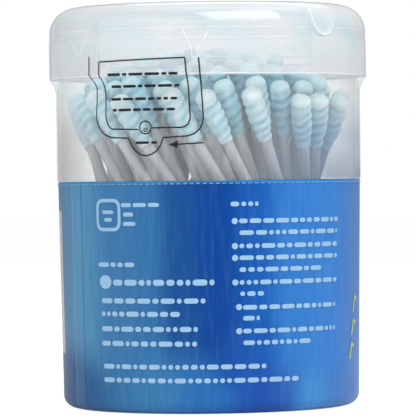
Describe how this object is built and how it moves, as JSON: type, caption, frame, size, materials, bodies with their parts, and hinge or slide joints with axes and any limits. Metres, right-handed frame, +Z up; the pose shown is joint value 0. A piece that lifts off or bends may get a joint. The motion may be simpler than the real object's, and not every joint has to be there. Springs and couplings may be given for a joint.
{
  "type": "cotton swab tub",
  "caption": "Round clear tub of cotton swabs with a press-on lid, a push-open dispensing hatch and a shrunk film sleeve that parts at a tear line.",
  "frame": {"origin": "centre of the tub's foot, on the surface that it stands on", "axes": "+Z up along the tub's axis; the front, with the pictogram, faces -Y; +X to the right as seen from the front"},
  "size_m": [0.07, 0.07, 0.0877],
  "materials": {
    "clear_plastic": "clear moulded plastic",
    "milky_plastic": "slightly milky moulded plastic",
    "printed_film": "glossy film printed in blue fields",
    "clear_film": "glossy clear shrunk film",
    "paper_stick": "rolled white paper",
    "cotton": "pale aqua cotton wound in a spiral"
  },
  "bodies": {
    "tub": {"tub": "clear_plastic", "printed_film": "printed_film", "swab_sticks_1": "paper_stick", "swab_sticks_2": "paper_stick", "swab_sticks_3": "paper_stick", "swab_sticks_4": "paper_stick", "swab_sticks_5": "paper_stick", "swab_sticks_6": "paper_stick", "swab_top_heads_1": "cotton", "swab_top_heads_2": "cotton", "swab_top_heads_3": "cotton", "swab_top_heads_4": "cotton", "swab_top_heads_5": "cotton", "swab_top_heads_6": "cotton", "swab_base_heads_1": "cotton", "swab_base_heads_2": "cotton", "swab_base_heads_3": "cotton", "swab_base_heads_4": "cotton", "swab_base_heads_5": "cotton", "swab_base_heads_6": "cotton"},
    "lid": {"lid": "milky_plastic", "clear_film": "clear_film"},
    "hatch": {"hatch": "milky_plastic"}
  },
  "joints": [
    {"name": "lid_lift", "type": "slide", "parent": "tub", "child": "lid", "axis": [0, 0, 1], "range_m": [0, 0.045]},
    {"name": "hatch_hinge", "type": "hinge", "parent": "lid", "child": "hatch", "pos_m": [0.00072, -0.00069, 0.0877], "axis": [-0.6947, -0.7193, 0], "range_deg": [0, 100]}
  ]
}
